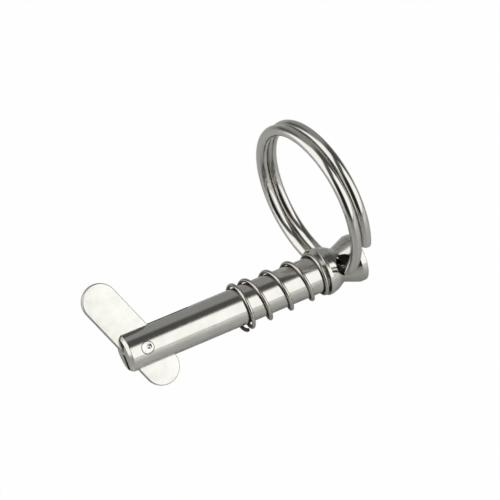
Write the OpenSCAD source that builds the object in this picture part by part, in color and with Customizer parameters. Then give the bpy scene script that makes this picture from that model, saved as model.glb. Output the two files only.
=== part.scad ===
// Drop-nose quick release pin: a turned pin with a slotted tip, a swinging toggle plate on a rivet,
// a take-up spring behind the toggle and a split ring through the head. Millimetres, Z up, lying at rest.
// Local frame of every piece: X along the pin from tip to head, Z the toggle's crosswise side, Y the rivet.

/* [Shank] */
// Shank diameter
shank_d = 8; // [6.8:0.1:9.6]
// Length from the tip face to the collar
shank_l = 45.4; // [38:0.1:60]
// Chamfer on the tip
tip_chamfer = 0.6; // [0.3:0.1:1]

/* [Toggle] */
// Width of the slot cut in the tip
slot_w = 1.5; // [1.4:0.05:2.2]
// Depth of the slot from the tip face, on the axis
slot_l = 16.3; // [15:0.1:22]
// Thickness of the toggle plate
toggle_t = 1.2; // [0.8:0.05:1.3]
// Pivot to the end of the long arm
toggle_long = 16.6; // [12:0.1:20]
// Pivot to the end of the short arm
toggle_short = 9.5; // [7:0.1:10.5]
// Distance of the pivot from the tip face
pivot_x = 4.2; // [3.6:0.1:5]
// Rivet diameter
rivet_d = 2.7; // [2:0.1:3.2]
// Radial play of the plate on the rivet
pivot_play = 0.06; // [0.04:0.01:0.1]
// Swing of the plate away from in line, as it lies
toggle_angle = 67; // [0:1:90]

/* [Head] */
// Distance from the collar to the waist
waist_l = 4; // [3.4:0.1:6]
// Distance from the collar to the end flange
flange_l = 7.5; // [7:0.1:9]
// Thickness of the end flange
flange_t = 1.3; // [1:0.1:2]
// Play of the ring wire in its cross hole, on the diameter
hole_play = 2.06; // [2.06:0.02:3]
// Distance from the collar to the cross hole
hole_l = 4.3; // [4:0.1:5]

/* [Spring] */
// Diameter of the spring wire
spring_wire = 0.82; // [0.5:0.02:1.1]
// Coil pitch in the open part
spring_pitch = 4.95; // [3:0.05:5.5]
// How much wider the free end is than the gripping end, on the radius
spring_flare = 0.49; // [0:0.01:0.8]

/* [Split ring] */
// Diameter of the ring wire
ring_wire = 2.34; // [1.8:0.02:2.8]
// Radius of the wire's centre line
ring_r = 16.3; // [13.6:0.1:19.6]
// How much flatter than the turns the stretch through the head is, at its middle
jog_flat = 0.6; // [0.4:0.05:0.8]
// Gap left under the middle of that stretch where it lies in its hole
ring_seat = 0.15; // [0.13:0.01:0.2]

/* [Rest] */
// Roll of the pin about its own axis as it lies
rest_roll = 41.24; // [0:0.01:90]
// How far the tip is propped up, as an angle
rest_pitch = 2.54; // [0:0.01:6]

/* [Hidden] */
// Fine circle count, taken as exact
fine = 96;
shank_r = shank_d / 2;
// The turned profile
collar_r = shank_r + 1.15;
collar_chamfer = 0.15;
collar_band = 0.75;
waist_r = shank_r - 0.3;
shoulder_r = collar_r - 0.4;
shoulder_run = 2.2;
flange_r = shank_r + 1.1;
flange_x = shank_l + flange_l;
flange_chamfer = 0.3;
head_end = flange_x + flange_t;
waist_x = shank_l + waist_l;
hole_x = shank_l + hole_l;
hole_d = ring_wire + hole_play;
// The slot: a disc cutter run in from the tip leaves a slightly hollow floor
cutter_r = 20;
// The toggle plate passes through the same bore as the shank
toggle_w = shank_d - 0.3;
eye_r = rivet_d / 2 + pivot_play;
rivet_seat = 0.01;
// Rivet ends: a shallow punch mark in each, cut by a cone run past the surface
dimple_d = 1.3;
dimple_depth = 0.4;
past = 1;
dimple_cone_r = dimple_d / 2 * (1 + past);
dimple_cone_h = dimple_depth * (1 + past);
// Spring
spring_r = spring_wire / 2;
spring_grip = 0.02;
spring_end_rho = shank_r + spring_grip + spring_r;
spring_turns = 5.36;
spring_start_deg = 173;
closed_pitch = 1.9;
end_pitch = 0.8;
open_from = 0.81;
open_width = 0.8;
close_from = 4.256;
close_width = 0.6;
spring_steps = 216;
spring_sides = 12;
// Split ring: two turns side by side, joined by a slanting stretch through the head
ring_wire_r = ring_wire / 2;
ring_off = ring_wire_r + 0.02;
// Its middle lies tipwards of the cross hole and to the near side of the axis
ring_set_back = 0.86;
ring_set_front = 1.6;
ring_x = hole_x - ring_set_back;
ring_y = -ring_set_front;
ring_z = ring_r + ring_seat - hole_play / 2 - jog_flat;
ring_lean = 5;
ring_yaw = 5.8;
// Angles round the ring, from its lowest point towards the far side
jog_mid = 9;
jog_half = 28;
free_end_near = -45;
free_end_far = 42;
jog_r = sqrt(ring_r * ring_r + ring_off * ring_off);
jog_slant = atan(ring_off / (ring_r * sin(jog_half)));
jog_reach = acos(ring_r * cos(jog_half) / jog_r);
jog_chord = jog_r * sin(jog_reach);
jog_rise = jog_r - jog_r * cos(jog_reach) - jog_flat;
flat_r = (jog_chord * jog_chord + jog_rise * jog_rise) / (2 * jog_rise);
flat_reach = asin(jog_chord / flat_r);
joint_r = ring_wire_r + 0.004;
// The row's origin: on the pin axis, halfway along the bare shank
origin_x = 12.8;

// The way the whole pin lies: rolled, tip propped up, origin on the shank
module at_rest() {
    rotate([-rest_roll, rest_pitch, 0])
        translate([-origin_x, 0, 0])
            children();
}

// A solid turned about the pin axis
module turned(points) {
    rotate([0, 90, 0])
        rotate_extrude($fn = fine)
            polygon(points);
}

// A round bar along the rivet direction
module cross_bar(x, z, r, length) {
    translate([x, 0, z])
        rotate([90, 0, 0])
            cylinder(r = r, h = length, center = true, $fn = fine);
}

// Turned profile, as radius and distance from the tip, mapped so that X runs to the head
function profile() = [
    [0, 0],
    [shank_r - tip_chamfer, 0],
    [shank_r, tip_chamfer],
    [shank_r, shank_l],
    [collar_r - collar_chamfer, shank_l],
    [collar_r, shank_l + collar_chamfer],
    [collar_r, shank_l + collar_band],
    [shoulder_r, shank_l + shoulder_run],
    [waist_r, waist_x],
    [flange_r, flange_x],
    [flange_r, head_end - flange_chamfer],
    [flange_r - flange_chamfer, head_end],
    [0, head_end]
];

// Pin, collar and flange turned in one, then slotted and cross drilled
module pin_body() {
    color([0.62, 0.62, 0.60])
        at_rest()
            difference() {
                turned(profile());
                cross_bar(slot_l - cutter_r, 0, cutter_r, slot_w);
                cross_bar(pivot_x, 0, rivet_d / 2 + rivet_seat, shank_d + 2 * past);
                cross_bar(hole_x, 0, hole_d / 2, 2 * collar_r + 2 * past);
            }
}

// Flat plate with full-round ends; the long arm stands beyond the tip and up
module toggle_plate() {
    straight = toggle_long + toggle_short - toggle_w;
    color([0.86, 0.86, 0.84])
        at_rest()
            translate([pivot_x, 0, 0])
                rotate([0, toggle_angle - 180, 0])
                    difference() {
                        union() {
                            cross_bar(toggle_long - toggle_w / 2, 0, toggle_w / 2, toggle_t);
                            cross_bar(toggle_w / 2 - toggle_short, 0, toggle_w / 2, toggle_t);
                            translate([toggle_w / 2 - toggle_short, -toggle_t / 2, -toggle_w / 2])
                                cube([straight, toggle_t, toggle_w]);
                        }
                        cross_bar(0, 0, eye_r, toggle_t + 2 * past);
                    }
}

// Rivet filling the cross hole at the tip, its ends dressed flush with the round shank
module toggle_rivet() {
    color([0.70, 0.70, 0.68])
        at_rest()
            difference() {
                intersection() {
                    cross_bar(pivot_x, 0, rivet_d / 2, shank_d + 2 * past);
                    translate([pivot_x - rivet_d, 0, 0])
                        rotate([0, 90, 0])
                            cylinder(r = shank_r, h = 2 * rivet_d, $fn = fine);
                }
                for (side = [-1, 1])
                    translate([pivot_x, side * (shank_r - dimple_depth), 0])
                        rotate([-side * 90, 0, 0])
                            cylinder(r1 = 0, r2 = dimple_cone_r, h = dimple_cone_h, $fn = fine);
            }
}

// Running integral of a smooth step from 0 to 1
function ramp(s) = s <= 0 ? 0 : (s >= 1 ? s - 0.5 : s * s * s - s * s * s * s / 2);

// Advance of the spring along the pin after u turns
function advance(u) =
    closed_pitch * u
    + (spring_pitch - closed_pitch) * open_width * ramp((u - open_from) / open_width)
    - (spring_pitch - end_pitch) * close_width * ramp((u - close_from) / close_width);

// Centre line of the spring wire after u turns
spring_x0 = shank_l - spring_r - spring_grip - advance(spring_turns);
function spring_rho(u) = spring_end_rho + spring_flare * (1 - u / spring_turns);
function spring_deg(u) = spring_start_deg + 360 * u;
function spring_out(u) = [0, -sin(spring_deg(u)), cos(spring_deg(u))];
function spring_at(u) = [spring_x0 + advance(u), 0, 0] + spring_rho(u) * spring_out(u);
function unit(v) = v / norm(v);
function spring_way(u) = unit(spring_at(u + 0.002) - spring_at(u - 0.002));

// Points of the wire's skin, ring by ring
function spring_skin() = [
    for (i = [0 : spring_steps])
        let (u = spring_turns * i / spring_steps)
        let (way = spring_way(u))
        let (side = unit(cross(way, spring_out(u))))
        let (out = cross(side, way))
        for (k = [0 : spring_sides - 1])
            let (a = 360 * k / spring_sides)
            spring_at(u) + spring_r * (cos(a) * out + sin(a) * side)
];

function spring_faces() = concat(
    [[for (k = [0 : spring_sides - 1]) k]],
    [[for (k = [spring_sides - 1 : -1 : 0]) spring_steps * spring_sides + k]],
    [
        for (i = [0 : spring_steps - 1])
            for (k = [0 : spring_sides - 1])
                let (next = (k + 1) % spring_sides)
                let (low = i * spring_sides)
                let (high = low + spring_sides)
                for (half = [0, 1])
                    half == 0 ? [low + k, high + k, high + next] : [low + k, high + next, low + next]
    ]
);

// Round-wire compression spring, its last turn gripping the shank against the collar
module spring() {
    color([0.52, 0.52, 0.50])
        at_rest()
            polyhedron(points = spring_skin(), faces = spring_faces(), convexity = 10);
}

// An arc of ring wire, in the ring's own plane, measured from the lowest point
module wire_arc(radius, from, sweep) {
    rotate([0, 90, 0])
        rotate([0, 0, from])
            rotate_extrude(angle = sweep, $fn = fine)
                translate([radius, 0])
                    circle(r = ring_wire_r, $fn = fine);
}

// The point of a turn at an angle from the lowest point
module on_turn(offset_x, angle) {
    translate([offset_x, ring_r * sin(angle), -ring_r * cos(angle)])
        children();
}

// Two turns of round wire side by side; one slanting stretch joins them and passes through the head
module split_ring() {
    color([0.72, 0.72, 0.70])
        at_rest()
            translate([ring_x, ring_y, ring_z])
                rotate([0, -ring_lean, ring_yaw])
                    union() {
                        translate([ring_off, 0, 0])
                            wire_arc(ring_r, jog_mid + jog_half, 360 + free_end_near - jog_mid - jog_half);
                        translate([-ring_off, 0, 0])
                            wire_arc(ring_r, free_end_far, 360 + jog_mid - jog_half - free_end_far);
                        rotate([jog_mid, 0, 0])
                            rotate([0, 0, -jog_slant])
                                translate([0, 0, flat_r + jog_flat - jog_r])
                                    wire_arc(flat_r, -flat_reach, 2 * flat_reach);
                        on_turn(ring_off, jog_mid + jog_half)
                            sphere(r = joint_r, $fn = fine);
                        on_turn(-ring_off, jog_mid - jog_half)
                            sphere(r = joint_r, $fn = fine);
                    }
}

pin_body();
toggle_plate();
toggle_rivet();
spring();
split_ring();
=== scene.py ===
import math

import bmesh
import bpy
from mathutils import Matrix, Vector


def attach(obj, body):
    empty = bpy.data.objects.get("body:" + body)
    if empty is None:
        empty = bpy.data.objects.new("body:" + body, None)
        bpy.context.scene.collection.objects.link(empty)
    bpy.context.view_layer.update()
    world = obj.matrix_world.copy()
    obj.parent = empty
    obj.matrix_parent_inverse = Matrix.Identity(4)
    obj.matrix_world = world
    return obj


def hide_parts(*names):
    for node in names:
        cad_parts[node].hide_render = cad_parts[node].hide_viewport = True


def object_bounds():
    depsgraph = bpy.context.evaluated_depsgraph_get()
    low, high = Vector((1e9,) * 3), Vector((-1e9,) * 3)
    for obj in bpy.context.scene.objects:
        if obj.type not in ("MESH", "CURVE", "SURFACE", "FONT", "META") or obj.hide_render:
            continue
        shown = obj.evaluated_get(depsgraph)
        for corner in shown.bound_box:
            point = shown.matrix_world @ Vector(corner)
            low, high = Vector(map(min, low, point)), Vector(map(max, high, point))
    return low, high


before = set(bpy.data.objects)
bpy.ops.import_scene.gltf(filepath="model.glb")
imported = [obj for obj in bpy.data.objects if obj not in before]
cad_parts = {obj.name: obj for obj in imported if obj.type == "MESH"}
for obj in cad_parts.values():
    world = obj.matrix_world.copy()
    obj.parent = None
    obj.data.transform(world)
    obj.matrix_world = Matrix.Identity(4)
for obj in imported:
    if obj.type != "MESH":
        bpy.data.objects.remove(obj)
cad_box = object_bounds()

# ---------------------------------------------------------------------------------------------
# Pin body: shank, collar, waist and end flange turned in one from stainless bar, then slotted at
# the tip with a disc cutter, cross drilled for the rivet and cross drilled again for the ring.
# ---------------------------------------------------------------------------------------------
MM = 0.001
rest_pitch = math.radians(2.54)
rest_roll = math.radians(41.24)
origin_x = 12.8
lay_down = (
    Matrix.Rotation(rest_pitch, 4, "Y")
    @ Matrix.Rotation(-rest_roll, 4, "X")
    @ Matrix.Translation((-origin_x * MM, 0, 0))
)

shank_r = 4.0
shank_l = 45.4
tip_chamfer = 0.6
collar_r = 5.15
waist_r = 3.7
waist_x = shank_l + 4.0
flange_r = 5.1
flange_x = shank_l + 7.5
head_end = flange_x + 1.3
slot_w = 1.5
slot_l = 16.3
cutter_r = 20.0
pivot_x = 4.2
rivet_r = 1.35
rivet_play = 0.03
drill_l = 3 * shank_r
hole_x = shank_l + 4.3
hole_r = 2.2

# Corner of the turned outline: distance along the pin, radius, and the rounding left by the tool
outline = [
    (0.0, 0.0, 0.0),
    (0.0, shank_r - tip_chamfer, 0.12),
    (tip_chamfer, shank_r, 0.18),
    (shank_l, shank_r, 0.08),
    (shank_l, collar_r, 0.16),
    (shank_l + 0.75, collar_r, 0.14),
    (shank_l + 2.2, collar_r - 0.4, 2.5),
    (waist_x, waist_r, 0.7),
    (flange_x, flange_r, 0.16),
    (head_end, flange_r, 0.32),
    (head_end, 0.0, 0.0),
]


def rounded(corners, steps=5, most=0.45):
    """The outline with each corner turned into a short arc, over at most a share of either side."""
    points = []
    for i, (x, r, radius) in enumerate(corners):
        here = Vector((x, r))
        if radius == 0.0:
            points.append(here)
            continue
        back = Vector(corners[i - 1][:2]) - here
        ahead = Vector(corners[i + 1][:2]) - here
        half = back.angle(ahead) / 2
        reach = min(radius / math.tan(half), most * back.length, most * ahead.length)
        start = here + back.normalized() * reach
        end = here + ahead.normalized() * reach
        for k in range(steps + 1):
            t = k / steps
            points.append(start.lerp(here, t).lerp(here.lerp(end, t), t))
    return points


def new_piece(name, vertices, faces, place=lay_down):
    """A mesh piece from points in the pin's frame, in millimetres."""
    mesh = bpy.data.meshes.new(name)
    mesh.from_pydata([place @ (Vector(v) * MM) for v in vertices], [], faces)
    mesh.validate()
    piece = bpy.data.objects.new(name, mesh)
    bpy.context.scene.collection.objects.link(piece)
    return piece


def turned(name, points, around=288):
    """A solid turned about the pin's axis, with its first and last points on the axis."""
    vertices = [(points[0].x, 0, 0)]
    for p in points[1:-1]:
        for k in range(around):
            a = 2 * math.pi * k / around
            vertices.append((p.x, p.y * math.cos(a), p.y * math.sin(a)))
    vertices.append((points[-1].x, 0, 0))
    last = len(vertices) - 1
    rows = len(points) - 2
    faces = []
    for k in range(around):
        n = (k + 1) % around
        faces.append((0, 1 + k, 1 + n))
        for row in range(rows - 1):
            low = 1 + row * around
            high = low + around
            faces.append((low + k, high + k, high + n, low + n))
        top = 1 + (rows - 1) * around
        faces.append((last, top + n, top + k))
    return new_piece(name, vertices, faces, Matrix.Identity(4))


def cross_cutter(name, x, radius, length, around):
    """A round cutter along the rivet direction."""
    vertices = []
    for side in (-1, 1):
        for k in range(around):
            a = 2 * math.pi * k / around
            vertices.append((x + radius * math.cos(a), side * length / 2, radius * math.sin(a)))
    faces = [tuple(range(around)), tuple(range(2 * around - 1, around - 1, -1))]
    for k in range(around):
        n = (k + 1) % around
        faces.append((n, k, around + k, around + n))
    return new_piece(name, vertices, faces, Matrix.Identity(4))


def cut(piece, cutter, mark):
    """Takes the cutter out of the piece. The cut faces carry the cutter's own mark."""
    cutter.data.materials.append(bpy.data.materials.new(mark))
    boolean = piece.modifiers.new("cut", "BOOLEAN")
    boolean.object = cutter
    boolean.solver = "EXACT"
    boolean.material_mode = "TRANSFER"
    graph = bpy.context.evaluated_depsgraph_get()
    made = bpy.data.meshes.new_from_object(piece.evaluated_get(graph), depsgraph=graph)
    piece.modifiers.clear()
    piece.data = made
    bpy.data.objects.remove(cutter)


outline_points = rounded(outline)
pin = turned("pin_visual", outline_points)
pin.data.materials.append(bpy.data.materials.new("turned"))
cut(pin, cross_cutter("slot_cutter", slot_l - cutter_r, cutter_r, slot_w, 720), "slotted")
cut(pin, cross_cutter("rivet_drill", pivot_x, rivet_r + rivet_play, drill_l, 96), "rivet_hole")
cut(pin, cross_cutter("ring_drill", hole_x, hole_r, drill_l, 128), "ring_hole")


def outline_normals(points):
    """The outward direction of the turned skin at each point of its outline."""
    normals = []
    for i in range(len(points)):
        a = points[max(i - 1, 0)]
        b = points[min(i + 1, len(points) - 1)]
        way = (b - a).normalized()
        normals.append(Vector((-way.y, way.x)))
    return normals


turned_normals = outline_normals(outline_points)


def skin_normal(x, y, z):
    """The true direction of the turned skin at a point on it."""
    r = math.hypot(y, z)
    here = Vector((x, r))
    best = (1e9, None)
    for i in range(len(outline_points) - 1):
        a, b = outline_points[i], outline_points[i + 1]
        span = b - a
        t = max(0.0, min(1.0, (here - a).dot(span) / max(span.length_squared, 1e-12)))
        gap = (a.lerp(b, t) - here).length
        if gap < best[0]:
            best = (gap, turned_normals[i].lerp(turned_normals[i + 1], t))
    n = best[1]
    if r < 1e-6:
        return Vector((n.x, 0, 0)).normalized()
    return Vector((n.x, n.y * y / r, n.y * z / r)).normalized()


def true_normals(piece):
    """Gives every corner of the body the direction of the surface that it was cut to.

    The turned faces then take the first material and the slotted and drilled ones the second."""
    mesh = piece.data
    marks = [m.name for m in mesh.materials]
    known = {}
    normals = []
    milled = set()
    for face in mesh.polygons:
        mark = marks[face.material_index]
        if mark != "turned":
            milled.add(face.index)
        for vertex in face.vertices:
            co = mesh.vertices[vertex].co / MM
            if mark == "ring_hole":
                n = Vector((hole_x - co.x, 0, -co.z)).normalized()
            elif mark == "rivet_hole":
                n = Vector((pivot_x - co.x, 0, -co.z)).normalized()
            elif mark == "slotted":
                if abs(face.normal.y) > 0.7:
                    n = face.normal.copy()
                else:
                    n = Vector((slot_l - cutter_r - co.x, 0, -co.z)).normalized()
            else:
                if vertex not in known:
                    known[vertex] = skin_normal(co.x, co.y, co.z)
                n = known[vertex]
            normals.append(n)
    for face in mesh.polygons:
        face.use_smooth = True
    mesh.normals_split_custom_set(normals)
    mesh.materials.clear()
    for face in mesh.polygons:
        face.material_index = int(face.index in milled)


true_normals(pin)
turn = lay_down.to_3x3()
laid_normals = [turn @ Vector(n.vector) for n in pin.data.corner_normals]
pin.data.transform(lay_down)
pin.data.normals_split_custom_set(laid_normals)


def add(tree, kind, feeds=None, **settings):
    """A node with its settings. Each input is given a value or the socket that feeds it."""
    node = tree.nodes.new(kind)
    for key, value in settings.items():
        setattr(node, key, value)
    for key, value in (feeds or {}).items():
        if isinstance(value, bpy.types.NodeSocket):
            tree.links.new(value, node.inputs[key])
        else:
            node.inputs[key].default_value = value
    return node


def effect(name, inputs, outputs):
    """An empty node group with number inputs and outputs, and the nodes at its two ends."""
    group = bpy.data.node_groups.new(name, "ShaderNodeTree")
    for words, value in inputs.items():
        socket = group.interface.new_socket(words, in_out="INPUT", socket_type="NodeSocketFloat")
        socket.default_value = value
    for words in outputs:
        group.interface.new_socket(words, in_out="OUTPUT", socket_type="NodeSocketFloat")
    return group, add(group, "NodeGroupInput"), add(group, "NodeGroupOutput")


def pin_place(tree):
    """The place on the piece in the pin's own frame, in millimetres."""
    on_piece = add(tree, "ShaderNodeTexCoord").outputs["Object"]
    feeds = {
        "Vector": on_piece,
        "Location": lay_down.translation,
        "Rotation": lay_down.to_euler(),
        "Scale": (MM, MM, MM),
    }
    return add(tree, "ShaderNodeMapping", feeds, vector_type="TEXTURE").outputs["Vector"]


def math_node(tree, operation, a, b=0.0):
    """The result of one step of arithmetic. A step on a single number leaves the second out."""
    return add(tree, "ShaderNodeMath", {0: a, 1: b}, operation=operation).outputs[0]


# Lathe marks: fine rings round the pin's axis, on the round skin and on the faces alike
lathe_marks, marks_in, marks_out = effect(
    "lathe marks", {"Marks per mm": 7.0, "Wander": 0.1}, ["Height", "Streak"]
)
place = pin_place(lathe_marks)
split = add(lathe_marks, "ShaderNodeSeparateXYZ", {"Vector": place})
from_axis = math_node(lathe_marks, "POWER", split.outputs["Y"], 2.0)
from_axis = math_node(
    lathe_marks, "ADD", from_axis, math_node(lathe_marks, "POWER", split.outputs["Z"], 2.0)
)
from_axis = math_node(lathe_marks, "SQRT", from_axis)
travel = math_node(lathe_marks, "ADD", split.outputs["X"], from_axis)
soft = add(lathe_marks, "ShaderNodeTexNoise", {"Vector": place, "Scale": 0.6, "Detail": 2.0})
wander = math_node(lathe_marks, "MULTIPLY", soft.outputs["Fac"], marks_in.outputs["Wander"])
travel = math_node(lathe_marks, "ADD", travel, wander)
travel = math_node(lathe_marks, "MULTIPLY", travel, marks_in.outputs["Marks per mm"])
fine_marks = add(
    lathe_marks,
    "ShaderNodeTexNoise",
    {"W": travel, "Scale": 1.0, "Detail": 3.0, "Roughness": 0.6},
    noise_dimensions="1D",
)
broad = math_node(lathe_marks, "MULTIPLY", travel, 0.12)
broad_marks = add(
    lathe_marks, "ShaderNodeTexNoise", {"W": broad, "Scale": 1.0, "Detail": 2.0}, noise_dimensions="1D"
)
lathe_marks.links.new(fine_marks.outputs["Fac"], marks_out.inputs["Height"])
lathe_marks.links.new(broad_marks.outputs["Fac"], marks_out.inputs["Streak"])

# Handling: faint patches where fingers and oil have dulled the steel
handling, handling_in, handling_out = effect("handling", {"Patch per mm": 0.35}, ["Dullness"])
patches = add(
    handling,
    "ShaderNodeTexNoise",
    {
        "Vector": pin_place(handling),
        "Scale": handling_in.outputs["Patch per mm"],
        "Detail": 4.0,
        "Roughness": 0.55,
    },
)
dulled = add(
    handling,
    "ShaderNodeMapRange",
    {"Value": patches.outputs["Fac"], "From Min": 0.35, "From Max": 0.7},
    interpolation_type="SMOOTHSTEP",
)
handling.links.new(dulled.outputs["Result"], handling_out.inputs["Dullness"])


def placed(tree, group, **values):
    """An effect placed in a material with its own values."""
    node = add(tree, "ShaderNodeGroup", node_tree=group)
    for words, value in values.items():
        node.inputs[words.replace("_", " ")].default_value = value
    return node


def between(tree, mask, low, high):
    """A number that runs from low to high with a mask."""
    return add(tree, "ShaderNodeMapRange", {"Value": mask, "To Min": low, "To Max": high}).outputs[0]


def toned(tree, mask, low, high):
    """A colour that runs from low to high with a mask."""
    feeds = {0: mask, 6: (*low, 1.0), 7: (*high, 1.0)}
    return add(tree, "ShaderNodeMix", feeds, data_type="RGBA").outputs[2]


def bare_metal(name):
    """A new metal material: its tree and its shader."""
    material = bpy.data.materials.new(name)
    material.use_nodes = True
    shader = material.node_tree.nodes["Principled BSDF"]
    shader.inputs["Metallic"].default_value = 1.0
    return material, material.node_tree, shader


def tone_and_polish(tree, shader, tone, colours, wear, polish):
    """Colour that follows the tone mask, and roughness that follows the wear mask."""
    tree.links.new(toned(tree, tone, *colours), shader.inputs["Base Color"])
    tree.links.new(between(tree, wear, *polish), shader.inputs["Roughness"])


def fine_relief(tree, shader, height, depth):
    """Fine marks in the surface, as deep as the given number of metres."""
    bump = add(tree, "ShaderNodeBump", {"Height": height, "Distance": depth})
    tree.links.new(bump.outputs["Normal"], shader.inputs["Normal"])


turned_steel, tree, shader = bare_metal("turned stainless steel")
marks = placed(tree, lathe_marks, Marks_per_mm=7.0, Wander=0.1)
hands = placed(tree, handling, Patch_per_mm=0.35)
turned_tones = ((0.65, 0.64, 0.597), (0.61, 0.598, 0.55))
tone_and_polish(
    tree, shader, hands.outputs["Dullness"], turned_tones, marks.outputs["Streak"], (0.1, 0.17)
)
fine_relief(tree, shader, marks.outputs["Height"], 4e-6)
pin.data.materials.append(turned_steel)

# The slot, the bores and the cut wire ends: an unpolished dull finish, its colour painted near black
# as painted shade for the shade that falls in them
shaded_cut_steel, tree, shader = bare_metal("cut steel painted dark for shade")
hands = placed(tree, handling, Patch_per_mm=0.9)
dull = hands.outputs["Dullness"]
# Painted shade: near-black colours stand in for the shade inside the slot and bores and on the wire
# ends
painted_shade_tones = ((0.12, 0.102, 0.085), (0.07, 0.06, 0.05))
tone_and_polish(tree, shader, dull, painted_shade_tones, dull, (0.38, 0.55))
shader.inputs["Metallic"].default_value = 0.0
shader.inputs["Specular IOR Level"].default_value = 0.12
pin.data.materials.append(shaded_cut_steel)
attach(pin, "pin")
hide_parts("pin_body")

# ---------------------------------------------------------------------------------------------
# Rivet: a plain steel pin pressed through the two cheeks of the slot, punched in the middle of
# each end to swell it and dressed flush with the round shank.
# ---------------------------------------------------------------------------------------------
dimple_r = 0.65
dimple_depth = 0.34
punch_x = 0.33
punch_z = 0.14
rivet_edge = 0.16
rivet_flush = 0.015
rivet_ring_step = 0.04
rivet_around = 64


def rivet_sink(rho, x, z):
    """How far a point on the rivet's end lies under the shank's skin."""
    sink = rivet_flush
    from_punch = math.hypot(x - punch_x, z - punch_z)
    if from_punch < dimple_r:
        t = from_punch / dimple_r
        sink += dimple_depth * (1 - t * t * (3 - 2 * t))
    if rho > rivet_r - rivet_edge:
        t = (rho - rivet_r + rivet_edge) / rivet_edge
        sink += rivet_edge * (1 - math.sqrt(max(0.0, 1 - t * t)))
    return sink


rivet_rings = [rivet_ring_step * k for k in range(1, 30)]
rivet_rings += [rivet_r - rivet_edge * (1 - k / 6) for k in range(1, 7)]
rivet_vertices = []
rivet_faces = []
for side in (-1, 1):
    centre = len(rivet_vertices)
    rivet_vertices.append((pivot_x, side * (shank_r - rivet_sink(0, 0, 0)), 0))
    for rho in rivet_rings:
        for k in range(rivet_around):
            a = 2 * math.pi * k / rivet_around
            x = rho * math.cos(a)
            z = rho * math.sin(a)
            y = math.sqrt(shank_r ** 2 - z ** 2) - rivet_sink(rho, x, z)
            rivet_vertices.append((pivot_x + x, side * y, z))
    for k in range(rivet_around):
        n = (k + 1) % rivet_around
        first = centre + 1
        rivet_faces.append((centre, first + k, first + n)[::-side])
        for row in range(len(rivet_rings) - 1):
            low = first + row * rivet_around
            high = low + rivet_around
            rivet_faces.append((low + k, high + k, high + n, low + n)[::-side])
rim = 1 + (len(rivet_rings) - 1) * rivet_around
other = rim + 1 + len(rivet_rings) * rivet_around
for k in range(rivet_around):
    n = (k + 1) % rivet_around
    rivet_faces.append((rim + k, other + k, other + n, rim + n))
rivet = new_piece("rivet_visual", rivet_vertices, rivet_faces)
for face in rivet.data.polygons:
    face.use_smooth = True
rivet_steel, tree, shader = bare_metal("dressed rivet steel")
hands = placed(tree, handling, Patch_per_mm=1.4)
dull = hands.outputs["Dullness"]
rivet_tones = ((0.74, 0.735, 0.7), (0.69, 0.68, 0.64))
tone_and_polish(tree, shader, dull, rivet_tones, dull, (0.2, 0.32))
rivet.data.materials.append(rivet_steel)
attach(rivet, "pin")
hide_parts("toggle_rivet")

# ---------------------------------------------------------------------------------------------
# Toggle plate: blanked from stainless sheet with full-round ends, tumbled so that its edges are
# soft, and hung on the rivet through an eye. It swings crosswise to lock the pin.
# ---------------------------------------------------------------------------------------------
toggle_t = 1.2
toggle_long = 16.6
toggle_short = 9.5
toggle_under = 0.3
toggle_w = 2 * shank_r - toggle_under
toggle_angle = math.radians(67)
eye_play = 0.06
eye_r = rivet_r + eye_play
eye_around = 96
plate_edge = 0.27
edge_steps = 6
swing = Matrix.Translation((pivot_x, 0, 0)) @ Matrix.Rotation(toggle_angle - math.pi, 4, "Y")


def plate_loop(inset, straight_parts=24):
    """Points round the plate's full-round outline, pulled in by the inset."""
    r = toggle_w / 2
    points = []
    for centre, start in ((toggle_long - r, -90), (r - toggle_short, 90)):
        for k in range(73):
            a = math.radians(start + 2.5 * k)
            points.append((centre + (r - inset) * math.cos(a), (r - inset) * math.sin(a)))
    # Only the two straight sides are longer than the sheet is thick, and they are cut up evenly
    dense = []
    for i, p in enumerate(points):
        q = points[(i + 1) % len(points)]
        parts = straight_parts if math.dist(p, q) > toggle_t else 1
        for k in range(parts):
            dense.append((p[0] + (q[0] - p[0]) * k / parts, p[1] + (q[1] - p[1]) * k / parts))
    return dense


def band(low, high, around):
    """Faces between two rings of points, given the number of each ring's first point."""
    faces = []
    for k in range(around):
        n = (k + 1) % around
        faces.append((low + k, low + n, high + n, high + k))
    return faces


loops = []
half_t = toggle_t / 2
for k in range(edge_steps + 1):
    a = math.pi / 2 * k / edge_steps
    loops.append((plate_edge * (1 - math.sin(a)), half_t - plate_edge * (1 - math.cos(a))))
loops += [(inset, -depth) for inset, depth in reversed(loops)]
plate_vertices = []
plate_faces = []
for inset, depth in loops:
    plate_vertices += [(x, depth, z) for x, z in plate_loop(inset)]
around = len(plate_loop(0))
for row in range(len(loops) - 1):
    plate_faces += band(row * around, (row + 1) * around, around)
eye_start = len(plate_vertices)
for depth in (half_t, -half_t):
    for k in range(eye_around):
        a = 2 * math.pi * k / eye_around
        plate_vertices.append((eye_r * math.cos(a), depth, eye_r * math.sin(a)))
plate_faces += band(eye_start, eye_start + eye_around, eye_around)
plate_vertices = [swing @ Vector(v) for v in plate_vertices]
plate = new_piece("toggle_visual", plate_vertices, plate_faces)
work = bmesh.new()
work.from_mesh(plate.data)
work.verts.ensure_lookup_table()
work.edges.ensure_lookup_table()
last_loop = (len(loops) - 1) * around
for loop_start, eye_low in ((0, eye_start), (last_loop, eye_start + eye_around)):
    rim = [work.verts[loop_start + k] for k in range(around)]
    eye = [work.verts[eye_low + k] for k in range(eye_around)]
    edges = [work.edges.get((rim[k], rim[(k + 1) % around])) for k in range(around)]
    edges += [work.edges.get((eye[k], eye[(k + 1) % eye_around])) for k in range(eye_around)]
    bmesh.ops.triangle_fill(work, use_beauty=True, edges=edges)
bmesh.ops.recalc_face_normals(work, faces=work.faces)
work.to_mesh(plate.data)
work.free()
for face in plate.data.polygons:
    face.use_smooth = True
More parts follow.
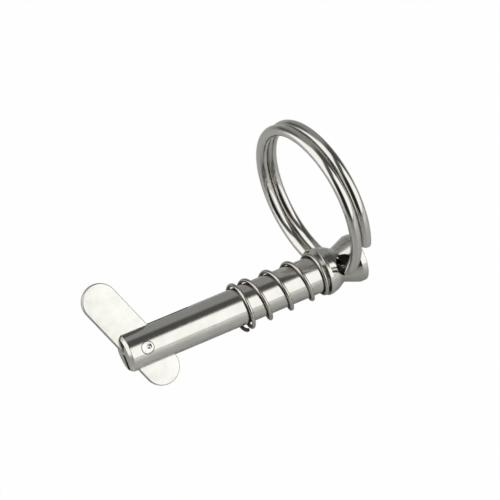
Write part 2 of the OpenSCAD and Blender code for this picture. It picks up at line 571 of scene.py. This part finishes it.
plate.data.set_sharp_from_angle(angle=math.radians(40))
plate_steel, tree, shader = bare_metal("tumbled stainless sheet")
hands = placed(tree, handling, Patch_per_mm=0.5)
dull = hands.outputs["Dullness"]
plate_tones = ((0.68, 0.678, 0.638), (0.655, 0.651, 0.605))
tone_and_polish(tree, shader, dull, plate_tones, dull, (0.22, 0.28))
plate.data.materials.append(plate_steel)
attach(plate, "toggle")
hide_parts("toggle_plate")

# ---------------------------------------------------------------------------------------------
# Spring: round stainless wire wound in a right-hand coil. Its last turn grips the shank against
# the collar, the coil opens a little towards the tip and ends in a closed turn with a cut end.
# ---------------------------------------------------------------------------------------------
spring_r = 0.41
spring_grip = 0.02
spring_end_rho = shank_r + spring_grip + spring_r
spring_flare = 0.49
spring_turns = 5.36
spring_start = math.radians(173)
spring_steps = 560
open_pitch = 4.95
closed_pitch = 1.9
end_pitch = 0.8
# Where along the coil, in turns, the pitch opens and closes again, and over how many turns
opens_at = 0.81
opens_over = 0.8
closes_at = 4.256
closes_over = 0.6
# The coil's free play shrinks towards the collar, and the coil hangs down by a share of it
play_fade = 1.4
spring_sag = 0.8
# The free end is tucked in along the pin, over its first part of a turn
spring_tuck = 0.8
tuck_turns = 0.5


def eased(s):
    """Running sum of a smooth step from 0 to 1."""
    if s <= 0:
        return 0.0
    return s - 0.5 if s >= 1 else s ** 3 - s ** 4 / 2


def advance(u):
    """How far the wire has moved along the pin after u turns."""
    opened = (open_pitch - closed_pitch) * opens_over * eased((u - opens_at) / opens_over)
    closed = (open_pitch - end_pitch) * closes_over * eased((u - closes_at) / closes_over)
    return closed_pitch * u + opened - closed


def wire(name, path, radius, sides, end_round, end_steps=5):
    """Round wire along a path of (point, outward direction) pairs, its ends cut and deburred.

    The skin takes the first material and the two cut faces the second."""
    points = [Vector(p) for p, out in path]
    outs = [Vector(out) for p, out in path]
    ways = []
    for i in range(len(points)):
        ways.append((points[min(i + 1, len(points) - 1)] - points[max(i - 1, 0)]).normalized())
    ends = []
    for k in range(end_steps):
        a = math.pi / 2 * k / end_steps
        ends.append((end_round * (1 - math.cos(a)), radius - end_round * (1 - math.sin(a))))
    rings = [(points[0] + ways[0] * s, ways[0], outs[0], r) for s, r in ends]
    rings += [(p, w, o, radius) for p, w, o in zip(points[1:-1], ways[1:-1], outs[1:-1])]
    rings += [(points[-1] - ways[-1] * s, ways[-1], outs[-1], r) for s, r in reversed(ends)]
    vertices = []
    faces = []
    for p, w, o, r in rings:
        side = w.cross(o).normalized()
        out = side.cross(w)
        for k in range(sides):
            a = 2 * math.pi * k / sides
            vertices.append(p + r * (math.cos(a) * out + math.sin(a) * side))
    for row in range(len(rings) - 1):
        faces += band(row * sides, (row + 1) * sides, sides)
    faces.append(tuple(range(sides - 1, -1, -1)))
    faces.append(tuple(len(vertices) - sides + k for k in range(sides)))
    piece = new_piece(name, vertices, faces)
    lengths = [0.0]
    for i in range(1, len(rings)):
        lengths.append(lengths[-1] + (rings[i][0] - rings[i - 1][0]).length)
    unwrap = piece.data.uv_layers.new(name="along_wire")
    for face in piece.data.polygons:
        face.use_smooth = len(face.vertices) == 4
        face.material_index = 0 if face.use_smooth else 1
        places = [v % sides for v in face.vertices]
        wraps = face.use_smooth and max(places) - min(places) > 1
        for corner, v in zip(face.loop_indices, face.vertices):
            k = v % sides
            turn_part = 1.0 if wraps and k == 0 else k / sides
            unwrap.data[corner].uv = (lengths[v // sides] * MM, turn_part)
    return piece


spring_x0 = shank_l - spring_r - spring_grip - advance(spring_turns)
straight_down = lay_down.to_3x3().inverted() @ Vector((0, 0, -1))
spring_path = []
for i in range(spring_steps + 1):
    u = spring_turns * i / spring_steps
    a = spring_start + 2 * math.pi * u
    play = spring_flare * (1 - u / spring_turns) ** play_fade
    rho = spring_end_rho + play
    out = Vector((0, -math.sin(a), math.cos(a)))
    tucked = spring_tuck * (1 - min(1.0, u / tuck_turns)) ** 2
    middle = Vector((spring_x0 + advance(u) + tucked, 0, 0)) + spring_sag * play * straight_down
    spring_path.append((middle + rho * out, out))
spring = wire("spring_visual", spring_path, spring_r, 24, 0.06)

# Draw lines: faint lines along the wire, left by the die that it was drawn through. The group also
# gives a mask of painted shade: on the side of the wire towards the shank and over its free end, where
# shade falls.
lines_and_shade, lines_in, lines_out = effect(
    "draw lines and painted shade", {"Lines round": 9.0}, ["Height", "Streak", "Hidden"]
)
along = add(lines_and_shade, "ShaderNodeUVMap", uv_map="along_wire").outputs["UV"]
split = add(lines_and_shade, "ShaderNodeSeparateXYZ", {"Vector": along})
turn_angle = math_node(lines_and_shade, "MULTIPLY", split.outputs["Y"], 2 * math.pi)
round_x = math_node(lines_and_shade, "COSINE", turn_angle)
round_y = math_node(lines_and_shade, "SINE", turn_angle)
run = math_node(lines_and_shade, "MULTIPLY", split.outputs["X"], 20.0)
coords = add(lines_and_shade, "ShaderNodeCombineXYZ", {"X": round_x, "Y": round_y, "Z": run})
drawn = add(
    lines_and_shade,
    "ShaderNodeTexNoise",
    {"Vector": coords.outputs[0], "Scale": lines_in.outputs["Lines round"], "Detail": 3.0},
)
streaks = add(
    lines_and_shade, "ShaderNodeTexNoise", {"Vector": coords.outputs[0], "Scale": 1.5, "Detail": 2.0}
)
lines_and_shade.links.new(drawn.outputs["Fac"], lines_out.inputs["Height"])
lines_and_shade.links.new(streaks.outputs["Fac"], lines_out.inputs["Streak"])
# Painted shade mask, darkest on the wire's side towards the shank
feeds = {"Value": round_x, "From Min": 0.5, "From Max": -0.25}
shank_side_shade = add(lines_and_shade, "ShaderNodeMapRange", feeds, interpolation_type="SMOOTHSTEP").outputs[0]
# Painted shade mask over the first few millimetres of wire at the free end
feeds = {"Value": split.outputs["X"], "From Min": 0.004, "From Max": 0.0015}
free_end_shade = add(lines_and_shade, "ShaderNodeMapRange", feeds, interpolation_type="SMOOTHSTEP").outputs[0]
shade_mask = math_node(lines_and_shade, "MAXIMUM", shank_side_shade, free_end_shade)
lines_and_shade.links.new(shade_mask, lines_out.inputs["Hidden"])

spring_steel, tree, shader = bare_metal("drawn spring wire")
lines = placed(tree, lines_and_shade, Lines_round=9.0)
streak = lines.outputs["Streak"]
colour = toned(tree, streak, (0.52, 0.492, 0.445), (0.6, 0.575, 0.53))
# Painted shade: the wire's colour is darkened by the mask, standing in for the shade between coil and
# shank and at the free end
painted_shade_colour = toned(tree, lines.outputs["Hidden"], (1.0, 1.0, 1.0), (0.2, 0.18, 0.16))
feeds = {0: 1.0, 6: colour, 7: painted_shade_colour}
colour = add(tree, "ShaderNodeMix", feeds, data_type="RGBA", blend_type="MULTIPLY").outputs[2]
tree.links.new(colour, shader.inputs["Base Color"])
tree.links.new(between(tree, streak, 0.08, 0.14), shader.inputs["Roughness"])
fine_relief(tree, shader, lines.outputs["Height"], 1.5e-6)
spring.data.materials.append(spring_steel)
# The two cut ends take the near-black material with painted shade
spring.data.materials.append(shaded_cut_steel)
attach(spring, "pin")
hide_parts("spring")

# ---------------------------------------------------------------------------------------------
# Split ring: nearly two turns of polished round wire side by side, joined by one slanting stretch
# that passes through the hole in the head. Both ends are cut blunt and lie beside that stretch.
# ---------------------------------------------------------------------------------------------
ring_wire_r = 1.17
ring_r = 16.3
turn_gap = 0.04
ring_off = ring_wire_r + turn_gap / 2
ring_back = 0.86
ring_aside = 1.6
ring_drop = 1.48
ring_centre = Vector((hole_x - ring_back, -ring_aside, ring_r - ring_drop))
ring_lean = math.radians(5)
ring_yaw = math.radians(5.8)
jog_mid = 9
jog_half = 28
jog_ease = 0.25
jog_flat = 0.56
# The wire stands a little higher in the far half of the hole
far_lift = 0.62
lift_middle = 0.26
lift_half = 0.44
ring_start = 45
ring_end = 675
ring_steps = 640
stand_ring = (
    Matrix.Translation(ring_centre)
    @ Matrix.Rotation(ring_yaw, 4, "Z")
    @ Matrix.Rotation(-ring_lean, 4, "Y")
)


def ramp_sum(u):
    """Running sum of a ramp from -1 to 1 that is held beyond them."""
    return u * u / 2 if abs(u) < 1 else abs(u) - 0.5


def ring_point(angle):
    """Centre of the ring wire at an angle from the lowest point, in the ring's own plane."""
    u = (angle - 360 - jog_mid) / jog_half
    across = (ramp_sum(u + jog_ease) - ramp_sum(u - jog_ease)) / (2 * jog_ease)
    pulled_in = jog_flat * max(0.0, 1 - u * u) ** 1.5
    pulled_in += far_lift * max(0.0, 1 - ((u - lift_middle) / lift_half) ** 2) ** 1.5
    a = math.radians(angle)
    out = Vector((0, math.sin(a), -math.cos(a)))
    return Vector((ring_off * across, 0, 0)) + (ring_r - pulled_in) * out, out


ring_path = []
for i in range(ring_steps + 1):
    p, out = ring_point(ring_start + (ring_end - ring_start) * i / ring_steps)
    ring_path.append((stand_ring @ p, stand_ring.to_3x3() @ out))
ring = wire("ring_visual", ring_path, ring_wire_r, 40, 0.3)
ring_steel, tree, shader = bare_metal("polished ring wire")
lines = placed(tree, lines_and_shade, Lines_round=14.0)
hands = placed(tree, handling, Patch_per_mm=0.3)
ring_tones = ((0.6, 0.59, 0.547), (0.65, 0.64, 0.6))
tone_and_polish(
    tree, shader, lines.outputs["Streak"], ring_tones, hands.outputs["Dullness"], (0.07, 0.13)
)
fine_relief(tree, shader, lines.outputs["Height"], 0.8e-6)
ring.data.materials.append(ring_steel)
# The two cut ends take the near-black material with painted shade
ring.data.materials.append(shaded_cut_steel)
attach(ring, "ring")
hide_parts("split_ring")

# ---------------------------------------------------------------------------------------------
# Studio: a white table under a grey surround that carries soft panels, some bright and some dark,
# which are what the polished steel shows. The camera looks down at the pin, a little from the tip.
# ---------------------------------------------------------------------------------------------
floor_z = min(corner[2] for corner in cad_box)
floor_half = 0.6
floor_mesh = bpy.data.meshes.new("floor")
floor_corners = [(-1, -1), (1, -1), (1, 1), (-1, 1)]
floor_vertices = [(x * floor_half, y * floor_half, floor_z) for x, y in floor_corners]
floor_mesh.from_pydata(floor_vertices, [], [(0, 1, 2, 3)])
floor = bpy.data.objects.new("floor", floor_mesh)
bpy.context.scene.collection.objects.link(floor)
table_white = bpy.data.materials.new("white table")
table_white.use_nodes = True
tree = table_white.node_tree
tree.nodes.clear()
rays = add(tree, "ShaderNodeLightPath")
matt = add(tree, "ShaderNodeBsdfPrincipled")
matt.inputs["Base Color"].default_value = (0.75, 0.75, 0.745, 1.0)
matt.inputs["Roughness"].default_value = 0.2
glow = add(tree, "ShaderNodeEmission", {"Color": (1.0, 1.0, 1.0, 1.0), "Strength": 1.0})
table_glow = 0.985
share = math_node(tree, "MULTIPLY", rays.outputs["Is Camera Ray"], table_glow)
mixed = add(tree, "ShaderNodeMixShader", {0: share, 1: matt.outputs[0], 2: glow.outputs[0]})
add(tree, "ShaderNodeOutputMaterial", {"Surface": mixed.outputs[0]})
floor_mesh.materials.append(table_white)

# A soft-edged panel of the surround, by its compass bearing and height over the horizon in degrees
panel, panel_in, panel_out = effect(
    "soft panel",
    {"Bearing": 0.0, "Height": 0.0, "Half width": 30.0, "Half height": 30.0, "Blur": 8.0},
    ["Mask"],
)
way = add(panel, "ShaderNodeTexCoord").outputs["Generated"]
split = add(panel, "ShaderNodeSeparateXYZ", {"Vector": way})
bearing = math_node(panel, "ARCTAN2", split.outputs["X"], split.outputs["Y"])
bearing = math_node(panel, "DEGREES", bearing)
height = math_node(panel, "DEGREES", math_node(panel, "ARCSINE", split.outputs["Z"]))
aside = math_node(panel, "SUBTRACT", bearing, panel_in.outputs["Bearing"])
aside = add(panel, "ShaderNodeMath", {0: aside, 1: 180.0, 2: -180.0}, operation="WRAP").outputs[0]
above = math_node(panel, "SUBTRACT", height, panel_in.outputs["Height"])
masks = []
for off, half in ((aside, "Half width"), (above, "Half height")):
    off = math_node(panel, "ABSOLUTE", off)
    blur = panel_in.outputs["Blur"]
    feeds = {
        "Value": off,
        "From Min": math_node(panel, "SUBTRACT", panel_in.outputs[half], blur),
        "From Max": math_node(panel, "ADD", panel_in.outputs[half], blur),
        "To Min": 1.0,
        "To Max": 0.0,
    }
    masks.append(add(panel, "ShaderNodeMapRange", feeds, interpolation_type="SMOOTHSTEP").outputs[0])
both = math_node(panel, "MULTIPLY", *masks)
panel.links.new(both, panel_out.inputs["Mask"])

world = bpy.data.worlds.new("studio")
bpy.context.scene.world = world
world.use_nodes = True
tree = world.node_tree
tree.nodes.clear()
surround_grey = 0.42
# Each panel: bearing, height, half width, half height, blur, and the light that it shows
panels = [
    (82, 45, 27, 38, 10, 0.13),
    (-20, 20, 13, 22, 8, 0.16),
    (110, 74, 85, 13, 7, 0.12),
    (-65, 78, 55, 15, 9, 1.3),
    (-75, 28, 33, 45, 6, 1.8),
    (-142, 60, 28, 16, 8, 0.16),
    (-142, 16, 27, 32, 6, 0.03),
    (142, 32, 38, 30, 5, 1.85),
]
level = surround_grey
for bearing, height, half_width, half_height, blur, light in panels:
    mask = placed(
        tree,
        panel,
        Bearing=bearing,
        Height=height,
        Half_width=half_width,
        Half_height=half_height,
        Blur=blur,
    ).outputs["Mask"]
    level = add(tree, "ShaderNodeMix", {0: mask, 2: level, 3: light}).outputs[0]
rays = add(tree, "ShaderNodeLightPath")
level = add(tree, "ShaderNodeMix", {0: rays.outputs["Is Camera Ray"], 2: level, 3: 1.0}).outputs[0]
air = add(tree, "ShaderNodeBackground", {"Strength": level})
add(tree, "ShaderNodeOutputWorld", {"Surface": air.outputs[0]})

camera_data = bpy.data.cameras.new("camera")
camera_data.lens = 180
camera_data.sensor_width = 36
camera_data.clip_start = 0.01
camera = bpy.data.objects.new("camera", camera_data)
bpy.context.scene.collection.objects.link(camera)
aim = Vector((16.72, -1.99, 16.12))
camera_reach = 500.0
camera_bearing = math.radians(-22.84)
camera_tilt = math.radians(43.89)
camera_roll = math.radians(-7.34)
seat = (
    Matrix.Translation(aim * MM)
    @ Matrix.Rotation(camera_bearing, 4, "Z")
    @ Matrix.Rotation(camera_tilt, 4, "X")
    @ Matrix.Rotation(camera_roll, 4, "Z")
    @ Matrix.Translation((0, 0, camera_reach * MM))
)
camera.matrix_world = seat
bpy.context.scene.camera = camera
bpy.context.scene.view_settings.view_transform = "Standard"
